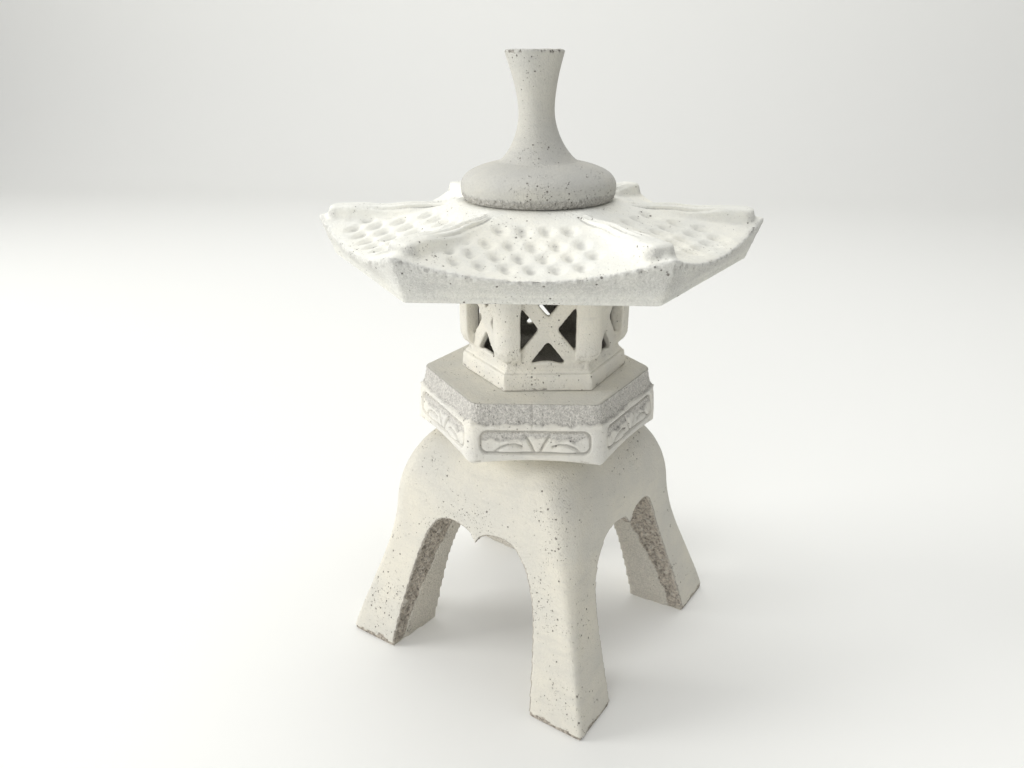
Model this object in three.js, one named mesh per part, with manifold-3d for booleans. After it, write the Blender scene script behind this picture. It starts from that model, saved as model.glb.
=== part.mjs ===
// Garden lantern of the pagoda kind, cast in pale cement as five pieces that stack dry:
// a base on four legs, a six-sided collar, a light chamber, a roof and a finial.
// Millimetres, +Z up. The origin is the middle of the footprint, on the floor.
// The base's four sides face +X, -X, +Y and -Y.

import * as THREE from "three";
import { mergeVertices } from "three/addons/utils/BufferGeometryUtils.js";
import Module from "manifold-3d";

const wasm = await Module();
wasm.setup();

// ---------------------------------------------------------------- driving dimensions

const seatGap = 0.3; // air between two pieces that rest on each other
const cutOver = 5; // how far a cutting shape runs past the face that it cuts
const hair = 0.01; // less than this is no distance at all
const filletShare = 0.45; // of its shortest side, which a corner's fillet may take up
const sides = 6; // sides of the collar, the chamber and the roof

// Base
const baseHeight = 152;
const shoulderHeight = 50; // from the waist up to the flat top
const footHalf = 93.5; // half the width across the feet, at the floor
const waistHalf = 70; // half the width where the flare has run out
const baseTopHalf = 42; // half the width of the flat top
const flareLow = { inset: 8.5, height: 36 }; // the flare's lower shaping point, in from the foot
const flareHigh = { proud: 0.5, belowWaist: 34 }; // and its upper one, out from the waist
const footCorner = 2; // corner radius in plan at the floor
const topCorner = 22; // corner radius in plan at the top
const flareSteps = 10; // rings up the flare, and again up the shoulder
const cornerSteps = 4;

// Arch through each side of the base
const legWidth = 37.5; // each side of the opening, at the floor
const archBelowWaist = 0.5; // from the waist down to the arch's two lobes
const archLobeHalf = 22; // from the middle to a lobe's highest point
const archPointDrop = 9.5; // from the lobes down to the small point between them
const archKnee = { inset: 5, drop: 39.5 }; // shapes the arch's side, in from the foot of the opening
const archShoulder = { inset: 24 }; // shapes the turn into a lobe, in from the waist
const archDraft = 0.16; // share by which the opening closes in, from face to middle, at the floor
const archDraftRise = 0.0021; // the same, added for each millimetre of height
const archSteps = 8; // steps through the base
const archCurveSteps = 8;

// Light chamber. Radii of six-sided pieces are to the corners.
const chamberHeight = 71.7;
const chamberRadius = 54.5; // over the corner posts
const plinthFootInset = 1.3;
const plinthTopInset = 2.5;
const plinthHeight = 11.4;
const coveInset = 4.9; // the narrowest part, just above the plinth
const coveAbovePlinth = 2.4;
const postAbovePlinth = 10.6; // where the posts have run out to their full size
const postSwell = 1; // how far the posts' feet curve out past a straight line
const chamberWall = 9.5;
const chamberFloor = 10.5; // thickness of the floor
const chamberTurn = 5.5; // degrees that the chamber stands turned from the base
const chamberShift = { x: 2.7, y: 4.2 }; // how far off the middle the chamber stands
const chamberCells = 2; // cells along each side

// Window with a crossed lattice in each side of the chamber
const postWidth = 11.25; // from a corner to the window
const windowAboveFoot = 16.3;
const windowHeader = 13.6; // from the window up to the chamber's top
const windowRecess = 3; // how far the lattice lies behind the posts
const latticeArm = 10.6; // width of a lattice arm
const latticeFillet = 1.6; // rounding in the corners of the window's openings
const filletSteps = 2;

// Collar
const collarHeight = 37.7;
const collarShelf = 20.4; // how far the collar's top stands out past the chamber's foot
const collarBandStep = 1.8; // out from the top to the foot of the plain band
const collarFrameStep = 5.4; // out from the top to the framed sides
const collarFootStep = 5;
const collarBandHeight = 12.6; // plain band round the top
const collarFlareHeight = 2; // height of the step from the band to the framed sides
const collarEdgeBevel = 1.6; // small slope round the foot
const collarFootRise = 2.7; // how far the foot's edge arches up between two corners
const collarSeatMargin = 16; // flat seat under the collar, past the base's flat top
const collarTurn = 2.4; // degrees that the collar stands turned from the base
const collarCells = 6;

// Framed panel on each side of the collar
const panelEndMargin = 6.5; // from a corner of the collar to the panel
const panelAboveFoot = 7.2;
const panelTopMargin = 0.8; // from the panel up to the top of the framed side
const panelCorner = 5;
const panelGrooveWidth = 2.4;
const panelGrooveDepth = 2;
const panelCornerSteps = 3;

// Finial
const finialHeight = 83.4;
const bunRadius = 46.5;
const bunFootInset = 3.5;
const bunHeight = 19; // up to where the bun turns in to the stem
const bunWidestHeight = 8;
const bunEdgeEase = 5.3; // how gently the bun's foot turns up
const bunTopInset = 11.5; // how far in the bun's rounded edge reaches
const stemFoot = { radius: 24, rise: 3 }; // where the stem begins, above the bun
const stemFlare = { inset: 5, rise: 4 }; // shapes the stem's flared foot
const neckRadius = 10.6;
const neckHeight = 50;
const neckEase = 12; // length of stem below the neck that is nearly straight
const finialTopRadius = 17.1;
const finialRim = 1; // small slope round the flat top
const stemLean = { x: -2.4, y: -1.6 }; // how far the flared top stands off the middle, as cast
const turnedSegments = 40;
const turnedSteps = 6; // steps along each curve of the outline

// Roof
const roofHeight = 35; // at the crown
const roofRadius = 136.5; // to the tips of the eaves
const eaveFootSetback = 9.5; // from a tip in to the foot of the fascia
const eaveKinkSetback = 7.7; // and to the small kink above it
const eaveKinkHeight = 5.5;
const eaveHeight = 14.2; // height of the fascia in the middle of a side
const eaveCornerLift = 11.5; // how much higher the fascia is at a corner
const crownMargin = 9.5; // how far the plain crown reaches past the finial
const crownEdge = { width: 3.2, drop: 1.6 }; // soft edge round the flat top of the crown
const panelSag = 2.2; // how far a roof panel dips below a straight slope
const roofCells = 8; // cells along each side
const roofRings = 5;
const roofTurn = 1; // degrees that the roof stands turned from the base

// Ridge along each hip of the roof
const ridgeHalfWidth = 7.5;
const ridgeHalfHeight = 5.5; // from the ridge's centre line up to its crest
const ridgeInset = 2; // from the crown's edge out to where the ridge begins
const ridgeSetback = 12; // from the roof's tip to the middle of the ridge's knob
const ridgeRise = { inner: 2.6, middle: 4.7, outer: 7.5 }; // crest above the hip that it lies on
const knobHeight = 4.6; // half the knob's height
const knobSegments = 12;
const knobRings = 8;
const ridgeSteps = 10;
const ridgeCurveSteps = 6;

// Colours and finishes of the cement
const baseCement = { color: 0xd8d5c8, roughness: 0.92 };
const collarCement = { color: 0xd3d0c5, roughness: 0.93 };
const chamberCement = { color: 0xd2cec1, roughness: 0.93 };
const roofCement = { color: 0xdedcd1, roughness: 0.9 };
const finialCement = { color: 0xc6c4bb, roughness: 0.88 };

// ---------------------------------------------------------------- sizes that follow from these

// Heights in the stack
const collarFoot = baseHeight + seatGap;
const chamberFoot = collarFoot + collarHeight + seatGap;
const roofFoot = chamberFoot + chamberHeight + seatGap;
const finialFoot = roofFoot + roofHeight + seatGap;

// Base
const waistHeight = baseHeight - shoulderHeight;
const archHeight = waistHeight - archBelowWaist;
const archFootHalf = footHalf - legWidth;

// Six-sided pieces
const sideAngle = (2 * Math.PI) / sides;
const cornerToFlat = Math.cos(sideAngle / 2); // a corner radius times this is the flat's distance
const chamberInnerRadius = chamberRadius - chamberWall / cornerToFlat;
const windowHalfWidth = chamberRadius / 2 - postWidth;
const windowLow = chamberFoot + windowAboveFoot;
const windowHigh = chamberFoot + chamberHeight - windowHeader;
const collarTopRadius = chamberRadius - plinthFootInset + collarShelf;
const collarFootRadius = collarTopRadius + collarFootStep;
const collarFrameRadius = collarTopRadius + collarFrameStep;
const collarSeatRadius = baseTopHalf + collarSeatMargin;
const crownRadius = bunRadius + crownMargin;

// ---------------------------------------------------------------- solids and booleans

// A closed geometry as a solid that can be cut and joined.
function solidOf(geometry) {
  const bare = geometry.clone();
  bare.deleteAttribute("normal");
  bare.deleteAttribute("uv");
  const merged = mergeVertices(bare, hair * hair);
  return new wasm.Manifold(
    new wasm.Mesh({
      numProp: 3,
      vertProperties: new Float32Array(merged.getAttribute("position").array),
      triVerts: new Uint32Array(merged.index.array),
    }),
  );
}

// A solid as a geometry that a mesh can hold.
function geometryOf(solid) {
  const cut = solid.getMesh();
  const geometry = new THREE.BufferGeometry();
  geometry.setAttribute("position", new THREE.BufferAttribute(cut.vertProperties, 3));
  geometry.setIndex(new THREE.BufferAttribute(cut.triVerts, 1));
  geometry.computeVertexNormals();
  return geometry;
}

// Moves each vertex of a geometry to where the function place puts it.
function reshape(geometry, place) {
  const position = geometry.getAttribute("position");
  const point = new THREE.Vector3();
  for (let i = 0; i < position.count; i += 1) {
    point.fromBufferAttribute(position, i);
    place(point);
    position.setXYZ(i, point.x, point.y, point.z);
  }
  return geometry;
}

// Stands a shape drawn in X (along the side) and Y (up) on the side that faces +X,
// with its depth running outwards from the distance given.
function standOnSide(shape, from, depth, curveSegments) {
  const geometry = new THREE.ExtrudeGeometry(shape, { depth, bevelEnabled: false, curveSegments });
  const along = new THREE.Vector3(0, 1, 0);
  const up = new THREE.Vector3(0, 0, 1);
  const out = new THREE.Vector3(1, 0, 0);
  geometry.applyMatrix4(new THREE.Matrix4().makeBasis(along, up, out));
  geometry.translate(from, 0, 0);
  return geometry;
}

// ---------------------------------------------------------------- shapes used more than once

// A six-sided solid turned from a profile of [corner radius, height] points. Its flats face
// +X and every 60 degrees from there. lift(across, radius, height) raises a point of the side:
// across runs from -1 at one corner, through 0 in the middle, to 1 at the next.
function sixSided(profile, cells, lift = () => 0) {
  const points = profile.map(([radius, height]) => new THREE.Vector2(radius, height));
  const geometry = new THREE.LatheGeometry(points, sides * cells);
  geometry.rotateX(Math.PI / 2);
  return reshape(geometry, (point) => {
    const radius = Math.hypot(point.x, point.y);
    const angle = Math.atan2(point.y, point.x);
    const fromFlat = angle - sideAngle * Math.round(angle / sideAngle);
    const across = Math.tan(fromFlat) / Math.tan(sideAngle / 2);
    const squeeze = cornerToFlat / Math.cos(fromFlat);
    point.z += lift(across, radius, point.z);
    point.x *= squeeze;
    point.y *= squeeze;
  });
}

// A polygon with rounded corners, from its corner points in order. A corner takes up less than
// half of each side that meets in it.
function roundedPolygon(corners, wantedRadius) {
  const shape = new THREE.Shape();
  const points = corners.map(([x, y]) => new THREE.Vector2(x, y));
  const count = points.length;
  const lengths = points.map((point, i) => point.distanceTo(points[(i + 1) % count]));
  const radius = Math.min(wantedRadius, filletShare * Math.min(...lengths));
  for (let i = 0; i < count; i += 1) {
    const corner = points[i];
    const before = points[(i + count - 1) % count].clone();
    const after = points[(i + 1) % count].clone();
    const start = corner.clone().add(before.sub(corner).setLength(radius));
    const end = corner.clone().add(after.sub(corner).setLength(radius));
    if (i === 0) shape.moveTo(start.x, start.y);
    else shape.lineTo(start.x, start.y);
    shape.quadraticCurveTo(corner.x, corner.y, end.x, end.y);
  }
  shape.closePath();
  return shape;
}

// Corners of an upright rectangle, counter-clockwise.
function rectangle(halfWidth, low, high) {
  return [
    [-halfWidth, low],
    [halfWidth, low],
    [halfWidth, high],
    [-halfWidth, high],
  ];
}

// The same geometry on each of a six-sided piece's sides, as one list of solids.
function onEachSide(geometry, firstAngle = 0) {
  const solids = [];
  for (let side = 0; side < sides; side += 1) {
    solids.push(solidOf(geometry.clone().rotateZ(firstAngle + side * sideAngle)));
  }
  return solids;
}

// ---------------------------------------------------------------- base

// Half the base's width at each height: a flare from the feet to the waist, and above it
// a quarter of an ellipse that rounds over to the flat top.
function baseHalfWidths() {
  const flare = new THREE.CubicBezierCurve(
    new THREE.Vector2(footHalf, 0),
    new THREE.Vector2(footHalf - flareLow.inset, flareLow.height),
    new THREE.Vector2(waistHalf + flareHigh.proud, waistHeight - flareHigh.belowWaist),
    new THREE.Vector2(waistHalf, waistHeight),
  );
  const shoulder = new THREE.EllipseCurve(
    baseTopHalf,
    waistHeight,
    waistHalf - baseTopHalf,
    shoulderHeight,
    0,
    Math.PI / 2,
  );
  const flareRings = flare.getPoints(flareSteps);
  const shoulderRings = shoulder.getPoints(flareSteps);
  return flareRings.concat(shoulderRings.slice(1));
}

// Square block with rounded corners. It is extruded from a square two units wide, half of which
// is corner, and then each ring takes its own half width and corner radius.
function baseBlock() {
  const rings = baseHalfWidths();
  const unitCorner = 0.5;
  const flat = 1 - unitCorner;
  const square = new THREE.Shape();
  for (let quarter = 0; quarter < 4; quarter += 1) {
    const centre = new THREE.Vector2(flat, flat).rotateAround(new THREE.Vector2(), (quarter * Math.PI) / 2);
    const from = (quarter * Math.PI) / 2;
    square.absarc(centre.x, centre.y, unitCorner, from, from + Math.PI / 2);
  }
  const steps = rings.length - 1;
  const block = new THREE.ExtrudeGeometry(square, {
    depth: steps,
    steps,
    bevelEnabled: false,
    curveSegments: cornerSteps,
  });
  return reshape(block, (point) => {
    const ring = rings[Math.round(point.z)];
    const climb = ring.y / baseHeight;
    const corner = THREE.MathUtils.lerp(footCorner, topCorner, climb * climb);
    const place = (unit) => {
      const past = Math.max(Math.abs(unit) - flat, 0);
      const straight = Math.min(Math.abs(unit) / flat, 1) * (ring.x - corner);
      return Math.sign(unit) * (straight + (past * corner) / unitCorner);
    };
    point.set(place(point.x), place(point.y), ring.y);
  });
}

// The opening that runs through the base along Y. It closes in towards the middle.
function archTunnel() {
  const knee = { x: archFootHalf - archKnee.inset, y: archHeight - archKnee.drop };
  const shoulder = waistHalf - archShoulder.inset;
  const arch = new THREE.Shape();
  arch.moveTo(-archFootHalf, -cutOver);
  arch.lineTo(archFootHalf, -cutOver);
  arch.lineTo(archFootHalf, 0);
  arch.bezierCurveTo(knee.x, knee.y, shoulder, archHeight, archLobeHalf, archHeight);
  arch.quadraticCurveTo(archLobeHalf / 2, archHeight, 0, archHeight - archPointDrop);
  arch.quadraticCurveTo(-archLobeHalf / 2, archHeight, -archLobeHalf, archHeight);
  arch.bezierCurveTo(-shoulder, archHeight, -knee.x, knee.y, -archFootHalf, 0);
  arch.closePath();
  const reach = footHalf + cutOver;
  const tunnel = new THREE.ExtrudeGeometry(arch, {
    depth: 2 * reach,
    steps: archSteps,
    bevelEnabled: false,
    curveSegments: archCurveSteps,
  });
  tunnel.rotateX(Math.PI / 2);
  tunnel.translate(0, reach, 0);
  return reshape(tunnel, (point) => {
    const inwards = 1 - Math.min(Math.abs(point.y) / footHalf, 1);
    const draft = archDraft + archDraftRise * Math.max(point.z, 0);
    point.x *= 1 - inwards * draft;
  });
}

function leggedBase() {
  const tunnel = archTunnel();
  const crossTunnel = tunnel.clone().rotateZ(Math.PI / 2);
  return geometryOf(solidOf(baseBlock()).subtract(solidOf(tunnel)).subtract(solidOf(crossTunnel)));
}

// ---------------------------------------------------------------- collar

function collar() {
  const top = collarFoot + collarHeight;
  const bandFoot = top - collarBandHeight;
  const frameTop = bandFoot - collarFlareHeight;
  const profile = [
    [0, collarFoot],
    [collarSeatRadius, collarFoot],
    [collarFootRadius - collarEdgeBevel, collarFoot],
    [collarFootRadius, collarFoot + collarEdgeBevel],
    [collarFrameRadius, frameTop],
    [collarTopRadius + collarBandStep, bandFoot],
    [collarTopRadius, top],
    [0, top],
  ];
  const footEdge = collarFoot + collarEdgeBevel;
  const body = sixSided(profile, collarCells, (across, radius, height) => {
    const onEdge = radius > collarSeatRadius + hair && height < footEdge + hair;
    return onEdge ? collarFootRise * (1 - across * across) : 0;
  });

  const low = collarFoot + panelAboveFoot;
  const high = frameTop - panelTopMargin;
  const panelHalfWidth = collarFrameRadius / 2 - panelEndMargin;
  const groove = roundedPolygon(rectangle(panelHalfWidth, low, high), panelCorner);
  const plaqueHalfWidth = panelHalfWidth - panelGrooveWidth;
  const plaqueLow = low + panelGrooveWidth;
  const plaqueHigh = high - panelGrooveWidth;
  const plaque = rectangle(plaqueHalfWidth, plaqueLow, plaqueHigh);
  groove.holes.push(roundedPolygon(plaque, panelCorner - panelGrooveWidth));
  const flatDistance = collarFootRadius * cornerToFlat;
  const from = flatDistance - panelGrooveDepth;
  const ring = standOnSide(groove, from, panelGrooveDepth + cutOver, panelCornerSteps);

  let solid = solidOf(body);
  for (const cut of onEachSide(ring)) solid = solid.subtract(cut);
  return geometryOf(solid);
}

// ---------------------------------------------------------------- light chamber

// The four three-cornered openings that a crossed lattice leaves in a window.
function latticeOpenings() {
  const middle = (windowLow + windowHigh) / 2;
  const halfHeight = (windowHigh - windowLow) / 2;
  const diagonal = Math.hypot(windowHalfWidth, halfHeight);
  const armUpright = (latticeArm / 2) * (diagonal / windowHalfWidth);
  const armLevel = (latticeArm / 2) * (diagonal / halfHeight);
  const baseHalf = windowHalfWidth - armLevel;
  const sideHalf = halfHeight - armUpright;
  const bottom = [[-baseHalf, windowLow], [baseHalf, windowLow], [0, middle - armUpright]];
  const top = [[baseHalf, windowHigh], [-baseHalf, windowHigh], [0, middle + armUpright]];
  const side = (sign) => [
    [sign * windowHalfWidth, middle - sign * sideHalf],
    [sign * windowHalfWidth, middle + sign * sideHalf],
    [sign * armLevel, middle],
  ];
  return [bottom, top, side(1), side(-1)];
}

function lightChamber() {
  const plinthTop = chamberFoot + plinthHeight;
  const top = chamberFoot + chamberHeight;
  const coveRadius = chamberRadius - coveInset;
  const coveHeight = plinthTop + coveAbovePlinth;
  const postFoot = plinthTop + postAbovePlinth;
  const outside = [
    [0, chamberFoot],
    [chamberRadius - plinthFootInset, chamberFoot],
    [chamberRadius - plinthTopInset, plinthTop],
    [coveRadius, coveHeight],
    [(coveRadius + chamberRadius) / 2 + postSwell, (coveHeight + postFoot) / 2],
    [chamberRadius, postFoot],
    [chamberRadius, top],
    [0, top],
  ];
  const floor = chamberFoot + chamberFloor;
  const inside = [
    [0, floor],
    [chamberInnerRadius, floor],
    [chamberInnerRadius, top + cutOver],
    [0, top + cutOver],
  ];
  const shell = solidOf(sixSided(outside, chamberCells));
  let solid = shell.subtract(solidOf(sixSided(inside, chamberCells)));
  const innerFlat = chamberInnerRadius * cornerToFlat;
  const outerFlat = chamberRadius * cornerToFlat;
  const pane = roundedPolygon(rectangle(windowHalfWidth, windowLow, windowHigh), latticeFillet);
  const cuts = [standOnSide(pane, outerFlat - windowRecess, windowRecess + cutOver, filletSteps)];
  for (const corners of latticeOpenings()) {
    const shape = roundedPolygon(corners, latticeFillet);
    cuts.push(standOnSide(shape, innerFlat - cutOver, chamberWall + 2 * cutOver, filletSteps));
  }
  for (const cut of cuts.flatMap((geometry) => onEachSide(geometry))) solid = solid.subtract(cut);
  return geometryOf(solid);
}

// ---------------------------------------------------------------- roof

// Share of the way out from the crown's edge to the tip of the eaves.
function outwardsAt(radius) {
  return Math.max(radius - crownRadius, 0) / (roofRadius - crownRadius);
}

// Height of a roof panel's middle line at a corner radius.
function panelHeightAt(radius) {
  const outwards = outwardsAt(radius);
  const crown = roofFoot + roofHeight - crownEdge.drop;
  const slope = THREE.MathUtils.lerp(crown, roofFoot + eaveHeight, outwards);
  return slope - panelSag * Math.sin(Math.PI * outwards);
}

// The ridge that runs out along one hip, the one that faces +X, with a round knob at its end.
function hipRidge() {
  const crest = (radius, rise) => {
    const hip = panelHeightAt(radius) + eaveCornerLift * outwardsAt(radius);
    return new THREE.Vector3(radius, 0, hip + rise - ridgeHalfHeight);
  };
  const innerRadius = crownRadius + ridgeInset;
  const knobRadius = roofRadius - ridgeSetback;
  const inner = crest(innerRadius, ridgeRise.inner);
  const middle = crest((innerRadius + knobRadius) / 2, ridgeRise.middle);
  const outer = crest(knobRadius, ridgeRise.outer);
  const bend = middle.clone().multiplyScalar(2);
  bend.addScaledVector(inner, -0.5).addScaledVector(outer, -0.5);
  const section = new THREE.Shape();
  section.absellipse(0, 0, ridgeHalfWidth, ridgeHalfHeight, 0, 2 * Math.PI);
  const strand = new THREE.ExtrudeGeometry(section, {
    steps: ridgeSteps,
    extrudePath: new THREE.QuadraticBezierCurve3(inner, bend, outer),
    curveSegments: ridgeCurveSteps,
  });
  const knob = new THREE.SphereGeometry(ridgeHalfWidth, knobSegments, knobRings);
  knob.rotateX(Math.PI / 2);
  knob.scale(1, 1, knobHeight / ridgeHalfWidth);
  knob.translate(knobRadius, 0, outer.z + ridgeHalfHeight - knobHeight);
  return solidOf(strand).add(solidOf(knob));
}

function roof() {
  const crown = roofFoot + roofHeight;
  const kink = roofFoot + eaveKinkHeight;
  const profile = [
    [0, roofFoot],
    [roofRadius - eaveFootSetback, roofFoot],
    [roofRadius - eaveKinkSetback, kink],
  ];
  for (let ring = 0; ring <= roofRings; ring += 1) {
    const radius = THREE.MathUtils.lerp(roofRadius, crownRadius, ring / roofRings);
    profile.push([radius, panelHeightAt(radius)]);
  }
  profile.push([crownRadius - crownEdge.width, crown]);
  profile.push([0, crown]);
  const body = sixSided(profile, roofCells, (across, radius, height) => {
    if (height < kink + hair) return 0;
    return eaveCornerLift * across * across * outwardsAt(radius);
  });
  let solid = solidOf(body);
  const ridge = hipRidge();
  for (let hip = 0; hip < sides; hip += 1) {
    const degrees = THREE.MathUtils.radToDeg((hip + 0.5) * sideAngle);
    solid = solid.add(ridge.rotate([0, 0, degrees]));
  }
  return geometryOf(solid);
}

// ---------------------------------------------------------------- finial

function finial() {
  const stemFootHeight = bunHeight + stemFoot.rise;
  const aboveNeck = (neckHeight + finialHeight) / 2;
  const line = new THREE.Path();
  line.moveTo(0, 0);
  line.lineTo(bunRadius - bunFootInset, 0);
  line.quadraticCurveTo(bunRadius, bunWidestHeight - bunEdgeEase, bunRadius, bunWidestHeight);
  line.bezierCurveTo(
    bunRadius,
    bunHeight,
    bunRadius - bunTopInset,
    bunHeight,
    stemFoot.radius,
    stemFootHeight,
  );
  line.bezierCurveTo(
    stemFoot.radius - stemFlare.inset,
    stemFootHeight + stemFlare.rise,
    neckRadius,
    neckHeight - neckEase,
    neckRadius,
    neckHeight,
  );
  line.quadraticCurveTo(neckRadius, aboveNeck, finialTopRadius, finialHeight - finialRim);
  line.lineTo(finialTopRadius - finialRim, finialHeight);
  line.lineTo(0, finialHeight);
  const turned = new THREE.LatheGeometry(line.getPoints(turnedSteps), turnedSegments);
  turned.rotateX(Math.PI / 2);
  reshape(turned, (point) => {
    const climb = Math.max(point.z - bunHeight, 0) / (finialHeight - bunHeight);
    point.x += stemLean.x * climb;
    point.y += stemLean.y * climb;
  });
  turned.translate(0, 0, finialFoot);
  return turned;
}

// ---------------------------------------------------------------- assembly

// One piece of the lantern, turned by the degrees given and shifted as it stands in the stack.
function piece(name, geometry, finish, turn = 0, shift = { x: 0, y: 0 }) {
  const mesh = new THREE.Mesh(geometry, new THREE.MeshStandardMaterial({ ...finish, metalness: 0 }));
  mesh.name = name;
  mesh.rotation.z = THREE.MathUtils.degToRad(turn);
  mesh.position.set(shift.x, shift.y, 0);
  return mesh;
}

const lantern = new THREE.Group();
lantern.add(piece("legged_base", leggedBase(), baseCement));
lantern.add(piece("collar", collar(), collarCement, collarTurn));
lantern.add(piece("light_chamber", lightChamber(), chamberCement, chamberTurn, chamberShift));
lantern.add(piece("roof", roof(), roofCement, roofTurn));
lantern.add(piece("finial", finial(), finialCement));

export default lantern;
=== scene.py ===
"""Garden lantern of the pagoda kind, cast in pale cement as five pieces that stack dry.

Each piece is cut as an exact solid, given a skin of even fine quads, and then carved, pitted and
worn. Lengths are in millimetres until a piece stands in its place, and in metres from there on.
"""

import math

import bmesh
import bpy
from mathutils import Matrix, Vector, noise


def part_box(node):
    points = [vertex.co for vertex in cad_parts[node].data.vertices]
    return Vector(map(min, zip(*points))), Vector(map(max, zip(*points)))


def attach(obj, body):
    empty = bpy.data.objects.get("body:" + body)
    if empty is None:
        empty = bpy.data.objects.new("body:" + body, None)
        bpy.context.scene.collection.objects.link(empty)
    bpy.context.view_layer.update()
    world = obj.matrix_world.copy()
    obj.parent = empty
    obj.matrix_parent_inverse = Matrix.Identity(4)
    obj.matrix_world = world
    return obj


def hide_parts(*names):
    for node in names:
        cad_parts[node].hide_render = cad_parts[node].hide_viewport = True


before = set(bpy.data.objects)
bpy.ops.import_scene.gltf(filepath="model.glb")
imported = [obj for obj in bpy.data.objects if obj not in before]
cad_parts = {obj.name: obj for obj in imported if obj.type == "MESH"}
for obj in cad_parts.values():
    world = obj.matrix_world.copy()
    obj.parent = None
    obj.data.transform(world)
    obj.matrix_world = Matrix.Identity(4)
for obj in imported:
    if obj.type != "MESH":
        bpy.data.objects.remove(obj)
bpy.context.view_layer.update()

MM = 0.001
PAST = 6  # how far a cutting tool reaches past what it cuts
CURVE_STEPS = 24
SIDES = 6
SIDE_ANGLE = math.tau / SIDES
CORNER_TO_FLAT = math.cos(SIDE_ANGLE / 2)
HALF_SIDE = math.tan(SIDE_ANGLE / 2)  # half a side's length, for a flat one unit from the axis


# ---- places taken from the frame


def foot_and_top(node):
    """Lowest and highest level of a node, in millimetres."""
    low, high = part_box(node)
    return low.z / MM, high.z / MM


BASE_TOP = foot_and_top("legged_base")[1]
COLLAR_FOOT, COLLAR_TOP = foot_and_top("collar")
CHAMBER_FOOT, CHAMBER_TOP = foot_and_top("light_chamber")
ROOF_FOOT = foot_and_top("roof")[0]
FINIAL_FOOT, FINIAL_TOP = foot_and_top("finial")
SEAT_GAP = COLLAR_FOOT - BASE_TOP
ROOF_CROWN = FINIAL_FOOT - SEAT_GAP
FOOT_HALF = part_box("legged_base")[1].x / MM


# ---- small helpers


def ease(low, high, value):
    """0 below low, 1 above high, and a soft step between them."""
    share = min(max((value - low) / (high - low), 0.0), 1.0)
    return share * share * (3 - 2 * share)


def blend(start, end, share):
    return start + (end - start) * share


def bezier(points, steps):
    """Points along a cubic curve, without its first point."""
    a, b, c, d = (Vector(p) for p in points)
    line = []
    for step in range(1, steps + 1):
        t = step / steps
        u = 1 - t
        line.append(a * u**3 + b * 3 * u * u * t + c * 3 * u * t * t + d * t**3)
    return line


def lumps(point, size, shift=0.0):
    """Soft noise from -1 to 1, with lumps of about the size given."""
    return noise.noise(point / size + Vector((shift, 1.7 * shift, -shift)))


def rubble(point, size, shift=0.0):
    """Rougher noise, with finer lumps on the larger ones."""
    return noise.fractal(point / size + Vector((shift, -shift, 2.3 * shift)), 0.8, 2.1, 4)


def waves(point, layers):
    """How far a face is off true: layers of lumps, each with its height, size and shift."""
    return sum(height * lumps(point, size, shift) for height, size, shift in layers)


def new_verts(grown):
    """The vertices among what an operator made."""
    return [v for v in grown if isinstance(v, bmesh.types.BMVert)]


def link_new(name, data):
    """A new object in the scene that holds a mesh, a light or a camera."""
    made = bpy.data.objects.new(name, data)
    bpy.context.scene.collection.objects.link(made)
    return made


# ---- making and cutting solids


def object_of(name, bm):
    """A scene object from a bmesh, with its faces pointing outwards."""
    bmesh.ops.remove_doubles(bm, verts=bm.verts, dist=0.001)
    bmesh.ops.recalc_face_normals(bm, faces=bm.faces)
    mesh = bpy.data.meshes.new(name)
    bm.to_mesh(mesh)
    bm.free()
    return link_new(name, mesh)


def settle(piece):
    """Turns what a piece's modifiers make into its own mesh."""
    bpy.context.view_layer.update()
    graph = bpy.context.evaluated_depsgraph_get()
    settled = bpy.data.meshes.new_from_object(piece.evaluated_get(graph))
    piece.modifiers.clear()
    spare = piece.data
    piece.data = settled
    bpy.data.meshes.remove(spare)


def cut_away(piece, tool):
    """Cuts a tool's shape out of a piece, and takes the tool away."""
    cut = piece.modifiers.new("cut", "BOOLEAN")
    cut.operation = "DIFFERENCE"
    cut.solver = "MANIFOLD"
    cut.object = tool
    settle(piece)
    bpy.data.objects.remove(tool)


def cast_skin(piece, cell, rounds):
    """Gives a solid a skin of even quads, with its arrises softened as a mould softens them."""
    skin = piece.modifiers.new("skin", "REMESH")
    skin.mode = "VOXEL"
    skin.voxel_size = cell
    settle(piece)
    bm = bmesh.new()
    bm.from_mesh(piece.data)
    for _ in range(rounds):
        bmesh.ops.smooth_vert(
            bm, verts=bm.verts, factor=0.5, use_axis_x=True, use_axis_y=True, use_axis_z=True
        )
    bm.to_mesh(piece.data)
    bm.free()


def ring_stack(profile, cuts=0):
    """A six-sided solid from (radius to the corners, height) points, foot first. Its flats face
    +X and every sixth of a turn from there, and each side is cut into cuts + 1 cells."""
    bm = bmesh.new()
    radius, height = profile[0]
    bmesh.ops.create_circle(bm, cap_ends=False, segments=SIDES, radius=radius)
    bmesh.ops.translate(bm, vec=(0, 0, height), verts=bm.verts)
    if cuts:
        bmesh.ops.subdivide_edges(bm, edges=bm.edges, cuts=cuts)
    ring = list(bm.edges)
    for wider, higher in profile[1:]:
        grown = bmesh.ops.extrude_edge_only(bm, edges=ring)["geom"]
        corners = new_verts(grown)
        ring = [e for e in grown if isinstance(e, bmesh.types.BMEdge)]
        share = wider / radius
        bmesh.ops.scale(bm, vec=(share, share, 1), verts=corners)
        bmesh.ops.translate(bm, vec=(0, 0, higher - height), verts=corners)
        radius, height = wider, higher
    bmesh.ops.holes_fill(bm, edges=bm.edges, sides=0)
    return bm


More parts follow.
